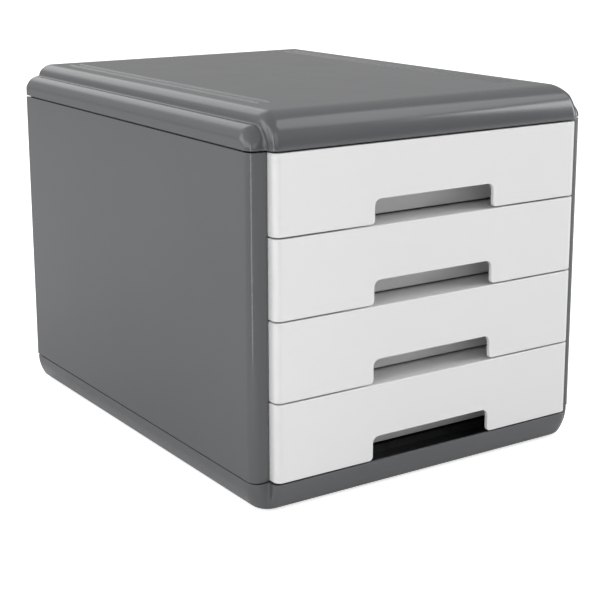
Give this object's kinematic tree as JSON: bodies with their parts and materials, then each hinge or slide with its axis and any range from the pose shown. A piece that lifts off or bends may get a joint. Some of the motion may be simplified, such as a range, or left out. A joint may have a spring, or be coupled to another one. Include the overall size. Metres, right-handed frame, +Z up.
{
  "type": "desktop file drawer",
  "caption": "Desktop drawer unit: grey moulded housing with a rolled-front lid and rounded base, white drawers with a finger notch in each front's lower edge.",
  "frame": {"origin": "middle of the footprint, on the surface the feet stand on", "axes": "+Z up, drawer faces towards -Y, X across the width; drawers slide out along -Y"},
  "size_m": [0.29, 0.366, 0.2736],
  "materials": {
    "housing_grey": "smooth satin to gloss moulded polystyrene, mid grey",
    "runner_grey": "plain moulded grey inner face",
    "drawer_white": "smooth satin white moulded polystyrene",
    "tray_white": "fine-textured white moulded tub",
    "foot_rubber": "matt black rubber",
    "screw_steel": "zinc-plated steel"
  },
  "bodies": {
    "housing": {"top_cover": "housing_grey", "base_tray": "housing_grey", "left_side_panel": "housing_grey", "right_side_panel": "housing_grey", "left_runner_panel": "runner_grey", "right_runner_panel": "runner_grey", "back_panel": "housing_grey", "foot_front_left": "foot_rubber", "foot_front_right": "foot_rubber", "foot_rear_left": "foot_rubber", "foot_rear_right": "foot_rubber", "base_screws": "screw_steel"},
    "drawer_1": {"drawer_1_front": "drawer_white", "drawer_1_tray": "tray_white"},
    "drawer_2": {"drawer_2_front": "drawer_white", "drawer_2_tray": "tray_white"},
    "drawer_3": {"drawer_3_front": "drawer_white", "drawer_3_tray": "tray_white"},
    "drawer_4": {"drawer_4_front": "drawer_white", "drawer_4_tray": "tray_white"}
  },
  "joints": [
    {"name": "drawer_1_slide", "type": "slide", "parent": "housing", "child": "drawer_1", "axis": [0, -1, 0], "range_m": [0, 0.235]},
    {"name": "drawer_2_slide", "type": "slide", "parent": "housing", "child": "drawer_2", "axis": [0, -1, 0], "range_m": [0, 0.235]},
    {"name": "drawer_3_slide", "type": "slide", "parent": "housing", "child": "drawer_3", "axis": [0, -1, 0], "range_m": [0, 0.235]},
    {"name": "drawer_4_slide", "type": "slide", "parent": "housing", "child": "drawer_4", "axis": [0, -1, 0], "range_m": [0, 0.235]}
  ]
}
